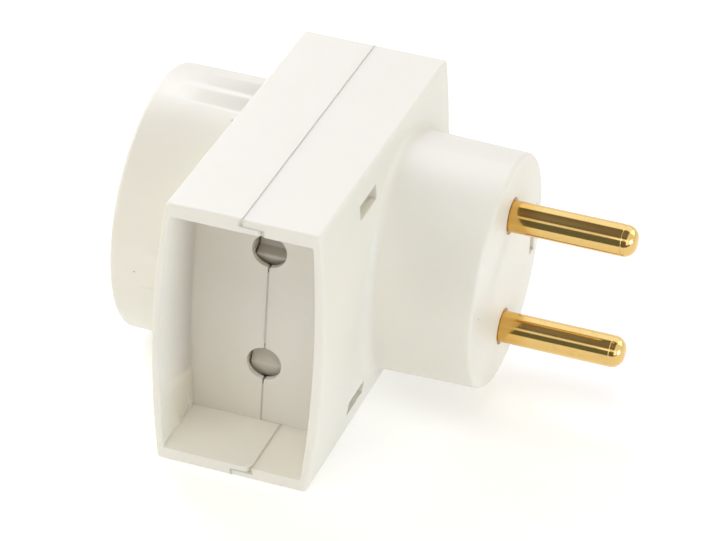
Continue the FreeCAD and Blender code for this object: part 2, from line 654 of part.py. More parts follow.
def contact_fork(label, outlet, lower):
    """Bent brass fork: a base under the strip and two sprung leaves with a flared mouth."""
    body = new_body(label)
    under = "dims.strip_level"
    over_base = f"({under} - dims.fork_thick)"
    start = "dims.fork_start"
    stop = "(dims.fork_start + dims.fork_length)"
    pinch = "(dims.fork_start + dims.fork_length / 3)"
    gap = "dims.fork_gap"
    wide = "(dims.fork_gap + dims.fork_flare)"
    for sign in ("", "-"):
        inner = [(f"{sign}({wide})", start), (f"{sign}{gap}", pinch),
                 (f"{sign}({gap} + dims.fork_flare / 2)", stop)]
        outer = [(f"{sign}({gap} + dims.fork_flare / 2 + dims.fork_thick)", stop),
                 (f"{sign}({gap} + dims.fork_thick)", pinch),
                 (f"{sign}({wide} + dims.fork_thick)", start)]
        corners = inner + outer
        prism(body, "XY_Plane", f"{under} - dims.fork_drop", over_base, lambda s: outline(s, corners))
    base_start = "dims.fork_base_start"
    side = "(dims.fork_gap + dims.fork_thick + dims.fork_flare / 2)"
    prism(body, "XY_Plane", over_base, under,
          lambda s: rectangle(s, (f"-{side}", base_start), (side, stop)))
    prism(body, "XY_Plane", over_base, under,
          lambda s: circle(s, ("0", "dims.rivet_offset"), "dims.rivet_radius + dims.rivet_fit"), remove=True)
    return seat(body, outlet, lower)


def fork_rivet(label, outlet, lower):
    """Rivet that joins a fork's base to its strip."""
    body = new_body(label)
    centre = ("0", "dims.rivet_offset")
    base = "(dims.strip_level - dims.fork_thick)"
    prism(body, "XY_Plane", base, STRIP_TOP, lambda s: circle(s, centre, "dims.rivet_radius"))
    prism(body, "XY_Plane", STRIP_TOP, f"{STRIP_TOP} + dims.rivet_head_height",
          lambda s: circle(s, centre, "dims.rivet_head_radius"))
    prism(body, "XY_Plane", f"{base} - dims.rivet_tail_height", base,
          lambda s: circle(s, centre, "dims.rivet_head_radius - dims.rivet_tail_height / 2"))
    return seat(body, outlet, lower)


def shutter(label, outlet):
    """Sliding shutter: two wings with hollow ramps, joined by the sides of a long window."""
    body = new_body(label)
    half = "dims.shutter_half"
    top = f"({POLE} + dims.wing_above)"
    bottom = f"(-{POLE} - dims.wing_below)"
    prism(body, "XZ_Plane", SLIDE_FRONT, SLIDE_BACK,
          lambda s: rectangle(s, (f"-{half}", bottom), (half, top)))
    prism(body, "XZ_Plane", SLIDE_FRONT, SLIDE_BACK,
          lambda s: rectangle(s, ("-dims.window_half", f"-{POLE} + dims.wing_above"),
                              ("dims.window_half", WINDOW_TOP)), remove=True)
    crests = []
    for wing, pole in (("upper", POLE), ("lower", f"-{POLE}")):
        crest = f"({pole} - dims.{wing}_crest_below)"
        crests.append(number(crest))
        ramp = [(SLIDE_FRONT, crest),
                (f"{SLIDE_FRONT} + dims.{wing}_knee_depth", f"{pole} - dims.{wing}_knee_below"),
                (f"{SLIDE_FRONT} + dims.{wing}_ramp_depth", f"{pole} + dims.wing_above"),
                (SLIDE_FRONT, f"{pole} + dims.wing_above")]
        underside = [(SLIDE_FRONT, crest), (SLIDE_FRONT, f"{pole} - dims.wing_below"),
                     (f"{SLIDE_FRONT} + dims.underside_set_back", f"{pole} - dims.wing_below")]
        for corners in (ramp, underside):
            prism(body, "YZ_Plane", f"-{half}", half, lambda s: outline(s, corners), remove=True)

    def on_crest(edge):
        box = edge.BoundBox
        return (box.ZLength < 1e-3 and abs(box.YMax - number(SLIDE_FRONT)) < 1e-3
                and any(abs(box.ZMin - level) < 1e-3 for level in crests))
    rounded(body, "dims.crest_round", on_crest)
    return seat(body, outlet, False)


def return_spring(label, outlet):
    """Compression spring in a shutter's window, from the fixed seat up to the upper wing.

    The wire's section is a hexagon square to the coil at its start.
    """
    room = f"({WINDOW_TOP} - {SEAT_TOP})"
    helix = doc.addObject("Part::Helix", f"{label}_path")
    helix.setExpression("Radius", "dims.coil_radius")
    helix.setExpression("Pitch", "dims.coil_pitch")
    helix.setExpression("Height", f"{room} - 2 * dims.wire_radius - 2 * dims.spring_play")
    wire = doc.addObject("Part::RegularPolygon", f"{label}_wire")
    wire.Polygon = WIRE_SIDES
    wire.setExpression("Circumradius", "dims.wire_radius")
    lean = math.degrees(math.atan(number("dims.coil_pitch / (2 * pi * dims.coil_radius)")))
    wire.Placement = Placement(Vector(number("dims.coil_radius"), 0, 0), Rotation(Vector(1, 0, 0), 90 + lean))
    wire.setExpression("Placement.Base.x", "dims.coil_radius")
    spring = doc.addObject("Part::Sweep", label)
    spring.Label = label
    spring.Sections = [wire]
    spring.Spine = (helix, [])
    spring.Solid = True
    spring.Frenet = True
    middle = f"({SLIDE_FRONT} + dims.shutter_thick / 2)"
    place = (f"{END_FLOOR} + {middle}", "0") if outlet == "end" else (SEAM, f"{SIDE_FLOOR} + {middle}")
    spring.setExpression("Placement.Base.x", place[0])
    spring.setExpression("Placement.Base.y", place[1])
    spring.setExpression("Placement.Base.z", f"{SEAT_TOP} + dims.wire_radius + dims.spring_play")
    return spring


pieces = [plug_shell(), outlet_shell()]
for level, sign in (("upper", ""), ("lower", "-")):
    pieces.append(plug_pin(f"{level}_pin", sign))
    pieces.append(bus_strip(f"{level}_strip", sign))
    for outlet in ("side", "end"):
        pieces.append(contact_fork(f"{level}_{outlet}_fork", outlet, bool(sign)))
        pieces.append(fork_rivet(f"{level}_{outlet}_rivet", outlet, bool(sign)))
for outlet in ("side", "end"):
    pieces.append(shutter(f"{outlet}_shutter", outlet))
    pieces.append(return_spring(f"{outlet}_spring", outlet))
doc.recompute()

for item in doc.Objects:
    if any(word in ("Invalid", "Error") for word in item.State):
        raise RuntimeError(f"{item.Label} failed: {item.State}")
for piece in pieces:
    if piece.Shape.isNull() or not piece.Shape.isValid():
        raise RuntimeError(f"{piece.Label} has no valid shape")

os.makedirs("parts", exist_ok=True)
for piece in pieces:
    piece.Shape.exportStep(os.path.join("parts", f"{piece.Label}.step"))
    print(f"{piece.Label}: {len(piece.Shape.Solids)} solid, {piece.Shape.Volume:.1f} mm3")
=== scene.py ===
"""Two-way mains plug adapter in a plain studio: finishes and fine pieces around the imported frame.

The frame is in metres. The origin is the centre of the plug face, +X runs along the pins, -Y is
the side that the side outlet opens to, and +Z is up. Sizes in this file are in millimetres.
"""
import json
import logging
import math
from dataclasses import dataclass
from enum import Enum

import bmesh
import bpy
from mathutils import Matrix, Quaternion, Vector


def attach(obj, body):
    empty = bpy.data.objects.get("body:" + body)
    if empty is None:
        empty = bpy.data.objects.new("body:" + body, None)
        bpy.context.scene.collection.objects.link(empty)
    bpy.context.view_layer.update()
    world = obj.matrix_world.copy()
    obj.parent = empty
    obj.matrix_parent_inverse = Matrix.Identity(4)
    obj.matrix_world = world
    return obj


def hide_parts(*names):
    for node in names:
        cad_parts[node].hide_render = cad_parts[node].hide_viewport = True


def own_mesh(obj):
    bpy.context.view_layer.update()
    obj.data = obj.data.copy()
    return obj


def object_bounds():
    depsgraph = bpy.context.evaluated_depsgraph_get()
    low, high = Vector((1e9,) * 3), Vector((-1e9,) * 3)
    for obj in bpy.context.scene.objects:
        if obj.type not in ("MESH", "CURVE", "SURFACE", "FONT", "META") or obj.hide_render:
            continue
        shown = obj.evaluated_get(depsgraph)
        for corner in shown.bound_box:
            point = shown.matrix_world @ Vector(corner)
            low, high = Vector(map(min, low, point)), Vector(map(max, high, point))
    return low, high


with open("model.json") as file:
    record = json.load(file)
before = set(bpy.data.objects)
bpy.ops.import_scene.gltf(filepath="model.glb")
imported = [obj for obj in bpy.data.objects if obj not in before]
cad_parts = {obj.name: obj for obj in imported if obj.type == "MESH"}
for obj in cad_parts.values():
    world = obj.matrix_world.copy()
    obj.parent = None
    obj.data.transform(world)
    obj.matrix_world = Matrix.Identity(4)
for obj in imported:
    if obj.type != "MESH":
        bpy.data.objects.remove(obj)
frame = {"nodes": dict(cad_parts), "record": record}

MM = 0.001
IMAGE_WIDTH = 721
SENSOR_WIDTH = 36.0
CAD_BOX = [list(corner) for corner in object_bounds()]

log = logging.getLogger("plug_adapter")


class Slot(Enum):
    """Material slots of the record."""

    SHELL = "ivory_shell"
    PIN = "pin_brass"
    CONTACT = "contact_brass"
    SHUTTER = "shutter_grey"
    SPRING = "spring_wire"


class Body(Enum):
    """Bodies of the record that the pieces ride on."""

    HOUSING = "housing"
    SIDE_SLIDE = "side_slide"
    END_SLIDE = "end_slide"


def linear(code: str) -> tuple[float, float, float, float]:
    """Turn an sRGB hex colour into linear light.

    Args:
        code: Six hex digits after a hash.

    Returns:
        Red, green, blue and an alpha of one.
    """
    shares = [int(code[i:i + 2], 16) / 255 for i in (1, 3, 5)]
    red, green, blue = [s / 12.92 if s <= 0.04045 else ((s + 0.055) / 1.055) ** 2.4 for s in shares]
    return red, green, blue, 1.0


def add_node(tree: bpy.types.NodeTree, kind: str, links: dict[str, bpy.types.NodeSocket] | None = None,
             values: dict[str, object] | None = None, **settings: object) -> bpy.types.Node:
    """Add a shader node with its settings, input values and incoming links.

    Args:
        tree: Node tree that gets the node.
        kind: Name of the node's class, without its ShaderNode start.
        links: Output socket to join to each named input.
        values: Value for each named input.
        settings: Attributes of the node itself.

    Returns:
        The new node.
    """
    node = tree.nodes.new(f"ShaderNode{kind}")
    for name, value in settings.items():
        setattr(node, name, value)
    for name, value in (values or {}).items():
        node.inputs[name].default_value = value
    for name, socket in (links or {}).items():
        tree.links.new(socket, node.inputs[name])
    return node


def new_material(name: str) -> tuple[bpy.types.Material, bpy.types.NodeTree, bpy.types.NodeSocket]:
    """Make an empty node material.

    Args:
        name: Name of the material.

    Returns:
        The material, its tree and the surface input of its output.
    """
    material = bpy.data.materials.new(name)
    material.use_nodes = True
    tree = material.node_tree
    tree.nodes.clear()
    return material, tree, add_node(tree, "OutputMaterial").inputs["Surface"]


def object_coordinates(tree: bpy.types.NodeTree) -> bpy.types.NodeSocket:
    """Give the coordinates of the piece, which are the frame's, in metres."""
    return add_node(tree, "TexCoord").outputs["Object"]


def per_metre(size_mm: float) -> float:
    """Scale of a noise pattern whose features measure a size in millimetres."""
    return 1 / (size_mm * MM)


def blend_colours(tree: bpy.types.NodeTree, factor: bpy.types.NodeSocket, first: str, second: str,
                  over: bpy.types.NodeSocket | None = None) -> bpy.types.NodeSocket:
    """Blend two sRGB colours by a factor.

    Args:
        tree: Node tree of the material.
        factor: Zero gives the first colour, one the second.
        first: Hex colour.
        second: Hex colour.
        over: Colour socket that stands in for the first colour.

    Returns:
        The blended colour's socket.
    """
    mix = add_node(tree, "Mix", {"Factor": factor}, data_type="RGBA")
    mix.inputs["A"].default_value = linear(first)
    mix.inputs["B"].default_value = linear(second)
    if over is not None:
        tree.links.new(over, mix.inputs["A"])
    return mix.outputs["Result"]


@dataclass(frozen=True)
class SatinMoulding:
    """Injection-moulded plastic from a finely spark-eroded tool.

    The tool's grain breaks the gloss up to a soft sheen, and the pigmented resin lets a little
    light through, so thin rims and gaps glow warmer than the broad faces. Edges are a little
    round from the tool, and a few dark specks of burnt resin lie in the surface.
    """

    name: str
    colour: str
    deep_colour: str
    speck_colour: str = "#8A8068"
    roughness: float = 0.42
    roughness_spread: float = 0.06
    grain_mm: float = 0.22
    grain_height_mm: float = 0.006
    flow_mm: float = 9.0
    speck_cell_mm: float = 3.0
    speck_mm: float = 0.14
    speck_share: float = 0.04
    edge_mm: float = 0.18
    scatter: float = 0.25
    scatter_mm: float = 1.3
    scatter_reach: tuple[float, float, float] = (1.0, 0.9, 0.6)
    ior: float = 1.49

    def specks(self, tree: bpy.types.NodeTree, place: bpy.types.NodeSocket) -> bpy.types.NodeSocket:
        """Make the mask of the specks: a dot in a small share of the cells.

        Args:
            tree: Node tree of the material.
            place: Coordinates of the piece.

        Returns:
            The mask's socket, one inside a speck.
        """
        cells = add_node(tree, "TexVoronoi", {"Vector": place}, {"Scale": per_metre(self.speck_cell_mm)})
        dot = add_node(tree, "Math", {0: cells.outputs["Distance"]},
                       {1: self.speck_mm / self.speck_cell_mm}, operation="LESS_THAN")
        draw = add_node(tree, "SeparateColor", {"Color": cells.outputs["Color"]})
        rare = add_node(tree, "Math", {0: draw.outputs["Red"]}, {1: self.speck_share},
                        operation="LESS_THAN")
        return add_node(tree, "Math", {0: dot.outputs[0], 1: rare.outputs[0]},
                        operation="MULTIPLY").outputs[0]

    def build(self) -> bpy.types.Material:
        """Make the material: grain in the bump, slow flow clouds in colour, specks and soft edges."""
        material, tree, surface = new_material(self.name)
        place = object_coordinates(tree)
        flow = add_node(tree, "TexNoise", {"Vector": place},
                        {"Scale": per_metre(self.flow_mm), "Detail": 3.0, "Roughness": 0.5})
        clouds = blend_colours(tree, flow.outputs["Fac"], self.deep_colour, self.colour)
        tint = blend_colours(tree, self.specks(tree, place), self.colour, self.speck_colour, clouds)
        grain = add_node(tree, "TexNoise", {"Vector": place},
                         {"Scale": per_metre(self.grain_mm), "Detail": 2.0, "Roughness": 0.6})
        gloss = add_node(tree, "MapRange", {"Value": grain.outputs["Fac"]},
                         {"To Min": self.roughness - self.roughness_spread,
                          "To Max": self.roughness + self.roughness_spread})
        edge = add_node(tree, "Bevel", values={"Radius": self.edge_mm * MM}, samples=4)
        bump = add_node(tree, "Bump", {"Height": grain.outputs["Fac"], "Normal": edge.outputs["Normal"]},
                        {"Strength": 1.0, "Distance": self.grain_height_mm * MM})
        shader = add_node(tree, "BsdfPrincipled",
                          {"Base Color": tint, "Roughness": gloss.outputs["Result"],
                           "Normal": bump.outputs["Normal"]},
                          {"IOR": self.ior, "Subsurface Weight": self.scatter,
                           "Subsurface Radius": self.scatter_reach,
                           "Subsurface Scale": self.scatter_mm * MM})
        tree.links.new(shader.outputs["BSDF"], surface)
        return material


@dataclass(frozen=True)
class TurnedBrass:
    """Free-cutting brass bar, turned, tumbled bright and handled.

    The tool's feed leaves faint rings round the pin, which stretch highlights a little.
    Handling leaves fine darker specks in the polish. The deeper gold beside the plug face is painted shade
    where the pin meets the face.
    """

    name: str
    colour: str
    tarnish: str
    # Deeper gold within this reach of the plug face: painted shade where the pin meets the face.
    face_shade_colour: str = "#DDB060"
    face_shade_mm: tuple[float, float] = (2.2, 5.0)
    roughness: float = 0.12
    roughness_spread: float = 0.05
    feed_mm: float = 0.16
    ring_height_mm: float = 0.0004
    cloud_mm: float = 1.6
    speck_cell_mm: float = 0.7
    speck_mm: float = 0.10
    speck_share: float = 0.16

    def build(self) -> bpy.types.Material:
        """Make the material: rings square to the pin, cloudy polish and tarnish specks."""
        material, tree, surface = new_material(self.name)
        place = object_coordinates(tree)
        rings = add_node(tree, "TexWave", {"Vector": place},
                         {"Scale": per_metre(self.feed_mm) / 20, "Distortion": 0.4, "Detail": 2.0},
                         wave_type="BANDS", bands_direction="X")
        cells = add_node(tree, "TexVoronoi", {"Vector": place}, {"Scale": per_metre(self.speck_cell_mm)})
        dot = add_node(tree, "MapRange", {"Value": cells.outputs["Distance"]},
                       {"From Min": 0.0, "From Max": self.speck_mm / self.speck_cell_mm,
                        "To Min": 1.0, "To Max": 0.0})
        draw = add_node(tree, "SeparateColor", {"Color": cells.outputs["Color"]})
        rare = add_node(tree, "Math", {0: draw.outputs["Green"]}, {1: self.speck_share},
                        operation="LESS_THAN")
        specks = add_node(tree, "Math", {0: dot.outputs["Result"], 1: rare.outputs[0]},
                          operation="MULTIPLY")
        clouds = add_node(tree, "TexNoise", {"Vector": place},
                          {"Scale": per_metre(self.cloud_mm), "Detail": 5.0, "Roughness": 0.6})
        soft = add_node(tree, "MapRange", {"Value": clouds.outputs["Fac"]},
                        {"From Min": 0.55, "From Max": 0.85, "To Max": 0.22})
        dirt = add_node(tree, "Math", {0: specks.outputs[0], 1: soft.outputs["Result"]},
                        operation="MAXIMUM")
        # Painted shade: the gold deepens towards the plug face, where the pin meets the face.
        along = add_node(tree, "SeparateXYZ", {"Vector": place})
        face_shade = add_node(tree, "MapRange", {"Value": along.outputs["X"]},
                        {"From Min": self.face_shade_mm[0] * MM, "From Max": self.face_shade_mm[1] * MM})
        metal = blend_colours(tree, face_shade.outputs["Result"], self.face_shade_colour, self.colour)
        tint = blend_colours(tree, dirt.outputs[0], self.colour, self.tarnish, metal)
        gloss = add_node(tree, "MapRange", {"Value": clouds.outputs["Fac"]},
                         {"To Min": self.roughness - self.roughness_spread,
                          "To Max": self.roughness + self.roughness_spread})
        bump = add_node(tree, "Bump", {"Height": rings.outputs["Fac"]},
                        {"Strength": 0.5, "Distance": self.ring_height_mm * MM})
        shader = add_node(tree, "BsdfPrincipled",
                          {"Base Color": tint, "Roughness": gloss.outputs["Result"],
                           "Normal": bump.outputs["Normal"]}, {"Metallic": 1.0})
        tree.links.new(shader.outputs["BSDF"], surface)
        return material


@dataclass(frozen=True)
class RolledMetal:
    """Cold-rolled strip or drawn wire, left as it comes off the press.

    Rolling leaves fine lengthways scratches and a duller, uneven gloss.
    """

    name: str
    colour: str
    dull_colour: str
    roughness: float = 0.30
    roughness_spread: float = 0.10
    scratch_mm: float = 0.12
    cloud_mm: float = 2.5

    def build(self) -> bpy.types.Material:
        """Make the material: stretched scratches in the gloss, soft clouds in the colour."""
        material, tree, surface = new_material(self.name)
        place = object_coordinates(tree)
        stretched = add_node(tree, "Mapping", {"Vector": place}, {"Scale": (0.05, 1.0, 1.0)})
        scratches = add_node(tree, "TexNoise", {"Vector": stretched.outputs["Vector"]},
                             {"Scale": per_metre(self.scratch_mm), "Detail": 3.0})
        clouds = add_node(tree, "TexNoise", {"Vector": place}, {"Scale": per_metre(self.cloud_mm)})
        tint = blend_colours(tree, clouds.outputs["Fac"], self.colour, self.dull_colour)
        gloss = add_node(tree, "MapRange", {"Value": scratches.outputs["Fac"]},
                         {"To Min": self.roughness - self.roughness_spread,
                          "To Max": self.roughness + self.roughness_spread})
        shader = add_node(tree, "BsdfPrincipled",
                          {"Base Color": tint, "Roughness": gloss.outputs["Result"]},
                          {"Metallic": 1.0})
        tree.links.new(shader.outputs["BSDF"], surface)
        return material


IVORY = SatinMoulding("satin_moulded_polypropylene_ivory", "#F3F0E6", "#F0EDE1")
# Darker cream for the seam ribs: painted shade that stands in for the shade in the hair gaps between the
# shells.
SEAM_SHADE_IVORY = SatinMoulding("polypropylene_seam_painted_shade", "#ECE4CC", "#E4DAC0", edge_mm=0.05)
SHUTTER_GREY = SatinMoulding("moulded_polyamide_shutter_grey", "#DCD8CB", "#D5D0C2", roughness=0.38,
                             scatter=0.05, edge_mm=0.3)
PIN_BRASS = TurnedBrass("turned_bright_brass_pin", "#E5C27C", "#8F6A2C")
CONTACT_BRASS = RolledMetal("stamped_rolled_brass_contact", "#D9AE62", "#C79A4E")
SPRING_STEEL = RolledMetal("drawn_spring_steel_wire", "#B9B7B0", "#A3A19B")


def dress(piece: bpy.types.Object, material: bpy.types.Material) -> None:
    """Give every material slot of a piece one finish."""
    if not piece.data.materials:
        piece.data.materials.append(material)
    for place in piece.material_slots:
        place.material = material


def new_piece(name: str, form: bmesh.types.BMesh, sharp_degrees: float = 30.0) -> bpy.types.Object:
    """Turn a finished form in metres into an object at the origin, shaded smooth between sharp edges.

    Args:
        name: Name of the piece.
        form: The form, which is freed.
        sharp_degrees: Edges that turn by more than this stay crisp.

    Returns:
        The new object, linked to the scene.
    """
    mesh = bpy.data.meshes.new(name)
    form.to_mesh(mesh)
    form.free()
    mesh.shade_smooth()
    mesh.set_sharp_from_angle(angle=math.radians(sharp_degrees))
    piece = bpy.data.objects.new(name, mesh)
    bpy.context.scene.collection.objects.link(piece)
    return piece


def profile(form: bmesh.types.BMesh, points_mm: list[tuple[float, float, float]]) -> list[bmesh.types.BMEdge]:
    """Lay an open line of edges through points.

    Args:
        form: Form that gets the line.
        points_mm: The points in order.

    Returns:
        The edges.
    """
    corners = [form.verts.new(Vector(point) * MM) for point in points_mm]
    return [form.edges.new(pair) for pair in zip(corners, corners[1:])]


def close_up(form: bmesh.types.BMesh) -> None:
    """Weld a form's doubles, close its open ends and point its faces outwards."""
    bmesh.ops.remove_doubles(form, verts=form.verts, dist=0.002 * MM)
    bmesh.ops.holes_fill(form, edges=[edge for edge in form.edges if edge.is_boundary])
    bmesh.ops.recalc_face_normals(form, faces=form.faces)


@dataclass
class TurnedPin:
    """One plug pin, turned from bar: round tip, thicker shank, collar and riveted tail."""

    node: str
    level_mm: float
    tip_mm: float = 19.0
    radius_mm: float = 2.4
    tip_round_mm: float = 1.9
    groove_mm: float = 0.05
    groove_half_mm: float = 0.09
    shank_radius_mm: float = 2.5
    shank_mm: float = 11.0
    collar_radius_mm: float = 3.3
    collar_mm: float = 2.6
    tail_radius_mm: float = 1.5
    strip_mm: float = 0.8
    head_radius_mm: float = 2.4
    head_mm: float = 1.0
    edge_mm: float = 0.08
    steps: int = 128
    tip_steps: int = 24

    def outline(self) -> list[tuple[float, float, float]]:
        """Give the pin's half section, from its tail to its tip."""
        collar_back = -self.shank_mm - self.collar_mm
        tail_back = collar_back - self.strip_mm
        head_back = tail_back - self.head_mm
        line = self.tip_mm - self.tip_round_mm - 2 * self.groove_half_mm
        places = [(head_back, 0.0), (head_back, self.tail_radius_mm / 2),
                  (head_back + self.edge_mm, self.head_radius_mm / 2),
                  (tail_back, self.head_radius_mm), (tail_back, self.tail_radius_mm),
                  (collar_back, self.tail_radius_mm), (collar_back, self.collar_radius_mm),
                  (-self.shank_mm, self.collar_radius_mm), (-self.shank_mm, self.shank_radius_mm),
                  (0.0, self.shank_radius_mm), (0.0, self.radius_mm),
                  (line - self.groove_half_mm, self.radius_mm), (line, self.radius_mm - self.groove_mm),
                  (line + self.groove_half_mm, self.radius_mm), (self.tip_mm, self.radius_mm),
                  (self.tip_mm, 0.0)]
        return [(along, 0.0, self.level_mm + out) for along, out in places]

    def build(self) -> bpy.types.Object:
        """Spin the section about the pin's axis and round the tip and the collar's edges."""
        form = bmesh.new()
        edges = profile(form, self.outline())
        centre = Vector((0, 0, self.level_mm)) * MM
        bmesh.ops.spin(form, geom=[*form.verts, *edges], cent=centre, axis=(1, 0, 0),
                       angle=2 * math.pi, steps=self.steps, use_merge=True)
        close_up(form)
        for place, radius, round_mm, steps in ((self.tip_mm, self.radius_mm, self.tip_round_mm, self.tip_steps),
                                               (-self.shank_mm, self.collar_radius_mm, 3 * self.edge_mm, 4)):
            rim = [edge for edge in form.edges
                   if all(abs(end.co.x - place * MM) < 1e-7 for end in edge.verts)
                   and all(abs((end.co - centre).yz.length - radius * MM) < 1e-6 for end in edge.verts)]
            bmesh.ops.bevel(form, geom=rim, offset=round_mm * MM, offset_type="OFFSET", segments=steps,
                            profile=0.5, affect="EDGES", material=-1)
        bmesh.ops.recalc_face_normals(form, faces=form.faces)
        piece = new_piece(f"turned_{self.node}", form)
        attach(piece, Body.HOUSING.value)
        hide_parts(self.node)
        return piece


@dataclass
class CoilSpring:
    """Wound return spring with closed ends, standing in a shutter's window."""

    node: str
    joint: str
    centre_mm: tuple[float, float]
    low_mm: float = -4.95
    high_mm: float = 6.45
    wire_mm: float = 0.21
    coil_mm: float = 0.95
    closed_turns: float = 1.0
    open_turns: float = 5.0
    steps_a_turn: int = 32
    wire_sides: int = 12
    anchor_mm: float = -5.0
    travel_mm: float = 5.4

    def build(self) -> bpy.types.Object:
        """Spin the wire's section up the coil: a closed turn, the open turns and a closed turn."""
        form = bmesh.new()
        across, along = self.centre_mm
        start = Vector((across + self.coil_mm, along, self.low_mm + self.wire_mm)) * MM
        bmesh.ops.create_circle(form, segments=self.wire_sides, radius=self.wire_mm * MM,
                                matrix=Matrix.Translation(start) @ Matrix.Rotation(math.pi / 2, 4, "X"))
        closed_rise = 2 * self.wire_mm * self.closed_turns
        open_rise = self.high_mm - self.low_mm - 2 * self.wire_mm - 2 * closed_rise
        end = list(form.edges)
        for turns, rise in ((self.closed_turns, closed_rise), (self.open_turns, open_rise),
                            (self.closed_turns, closed_rise)):
            steps = round(turns * self.steps_a_turn)
            made = bmesh.ops.spin(form, geom=[*end, *{v for edge in end for v in edge.verts}],
                                  cent=Vector((across, along, 0)) * MM, axis=(0, 0, 1),
                                  dvec=(0, 0, rise * MM / steps), angle=2 * math.pi * turns, steps=steps)
            end = [item for item in made["geom_last"] if isinstance(item, bmesh.types.BMEdge)]
        close_up(form)
        piece = new_piece(f"wound_{self.node}", form, 50.0)
        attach(piece, Body.HOUSING.value)
        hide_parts(self.node)
        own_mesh(piece)
        return piece


def keep_modified(piece: bpy.types.Object) -> None:
    """Keep what a piece's modifiers make of it as its own mesh."""
    graph = bpy.context.evaluated_depsgraph_get()
    shaped = bpy.data.meshes.new_from_object(piece.evaluated_get(graph))
    piece.modifiers.clear()
    piece.data = shaped


def join(piece: bpy.types.Object, other: bpy.types.Object, operation: str) -> None:
    """Join, cut or trim a piece with another closed piece, which is then removed.

    Args:
        piece: Piece that is changed.
        other: Piece that it is worked with.
        operation: UNION or DIFFERENCE.
    """
    work = piece.modifiers.new("work", "BOOLEAN")
    work.object, work.operation, work.solver = other, operation, "EXACT"
    keep_modified(piece)
    bpy.data.objects.remove(other)


@dataclass
class DrumSideShell:
    """The moulded half with the drum, its bowed side wall closed all round the drum."""

    node: str = "outlet_shell"
    bow_radius_mm: float = 151.98
    bow_out_mm: float = -41.8
    wall_mm: float = 1.0
    wall_reach_mm: tuple[float, float] = (-23.4, 19.7)
    wall_half_mm: float = 19.45
    opening_radius_mm: float = 19.5
    drum_radius_mm: float = 20.5
    trim_mm: float = 2.2
    trim_reach_mm: tuple[float, float] = (-24.6, 20.4)
    trim_half_mm: float = 20.2
    trim_clear_mm: float = 0.01
    root_radius_mm: float = 20.44
    root_reach_mm: tuple[float, float] = (-42.3, -39.9)
    flat_degrees: float = 0.2
    sharp_degrees: float = 22.0
    steps: int = 20

    def bowed_slab(self, name: str, radii_mm: tuple[float, float], half_mm: float,
                   reach_mm: tuple[float, float], hole_mm: float) -> bpy.types.Object:
        """Make a slab that follows the block's bow, with a round hole for the drum.

        Args:
            name: Name of the slab.
            radii_mm: Radii of its two bowed faces.
            half_mm: Its reach up and down.
            reach_mm: Its reach along y.
            hole_mm: Radius of the hole.

        Returns:
            The slab.
        """
        form = bmesh.new()
        centre_x = self.bow_out_mm + self.bow_radius_mm
        centre = Vector((centre_x, 0, 0)) * MM
        half = math.asin(half_mm / self.bow_radius_mm)
        edges = profile(form, [(centre_x - radius, reach_mm[0], 0.0) for radius in radii_mm])
        bmesh.ops.rotate(form, verts=form.verts, cent=centre, matrix=Matrix.Rotation(-half, 3, "Y"))
        bmesh.ops.spin(form, geom=[*form.verts, *edges], cent=centre, axis=(0, 1, 0), angle=2 * half,
                       steps=self.steps)
        made = bmesh.ops.extrude_face_region(form, geom=list(form.faces))
        bmesh.ops.translate(form, vec=(0, (reach_mm[1] - reach_mm[0]) * MM, 0),
                            verts=[item for item in made["geom"] if isinstance(item, bmesh.types.BMVert)])
        bmesh.ops.recalc_face_normals(form, faces=form.faces)
        slab = new_piece(name, form)
        join(slab, self.round_bar("hole", hole_mm, (self.bow_out_mm - 10, self.bow_out_mm + 10)), "DIFFERENCE")
        return slab

    def round_bar(self, name: str, radius_mm: float, reach_mm: tuple[float, float]) -> bpy.types.Object:
        """Make a round bar on the drum's axis, between two places along x."""
        form = bmesh.new()
        middle = Vector((sum(reach_mm) / 2, 0, 0)) * MM
        bmesh.ops.create_cone(form, cap_ends=True, segments=192, radius1=radius_mm * MM,
                              radius2=radius_mm * MM, depth=(reach_mm[1] - reach_mm[0]) * MM,
                              matrix=Matrix.Translation(middle) @ Matrix.Rotation(math.pi / 2, 4, "Y"))
        return new_piece(name, form)

    def root(self) -> bpy.types.Object:
        """Make the ring that carries the drum's wall down to the block's bowed side."""
        ring = self.round_bar("root", self.root_radius_mm, self.root_reach_mm)
        join(ring, self.round_bar("bore", self.opening_radius_mm - self.wall_mm,
                                  (self.root_reach_mm[0] - 1, self.root_reach_mm[1] + 1)), "DIFFERENCE")
        return ring

    def build(self, frame_nodes: dict[str, bpy.types.Object]) -> bpy.types.Object:
        """Trim what stands out of the bowed side and close the side round the drum."""
        form = bmesh.new()
        form.from_mesh(frame_nodes[self.node].data)
        bmesh.ops.remove_doubles(form, verts=form.verts, dist=0.001 * MM)
        bmesh.ops.recalc_face_normals(form, faces=form.faces)
        piece = new_piece("drum_side_shell", form)
        bow = self.bow_radius_mm
        join(piece, self.bowed_slab("trim", (bow + self.trim_clear_mm, bow + self.trim_mm),
                                    self.trim_half_mm, self.trim_reach_mm, self.drum_radius_mm), "DIFFERENCE")
        join(piece, self.bowed_slab("wall", (bow - self.wall_mm, bow), self.wall_half_mm,
                                    self.wall_reach_mm, self.opening_radius_mm), "UNION")
        join(piece, self.root(), "UNION")
        form = bmesh.new()
        form.from_mesh(piece.data)
        bmesh.ops.remove_doubles(form, verts=form.verts, dist=0.002 * MM)
        bmesh.ops.dissolve_limit(form, angle_limit=math.radians(self.flat_degrees), verts=form.verts,
                                 edges=form.edges)
        form.to_mesh(piece.data)
        form.free()
        piece.data.materials.clear()
        piece.data.shade_smooth()
        piece.data.set_sharp_from_angle(angle=math.radians(self.sharp_degrees))
        weighted = piece.modifiers.new("weighted", "WEIGHTED_NORMAL")
        weighted.keep_sharp = True
        weighted.weight = 100
        keep_modified(piece)
        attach(piece, Body.HOUSING.value)
        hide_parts(self.node)
        return piece


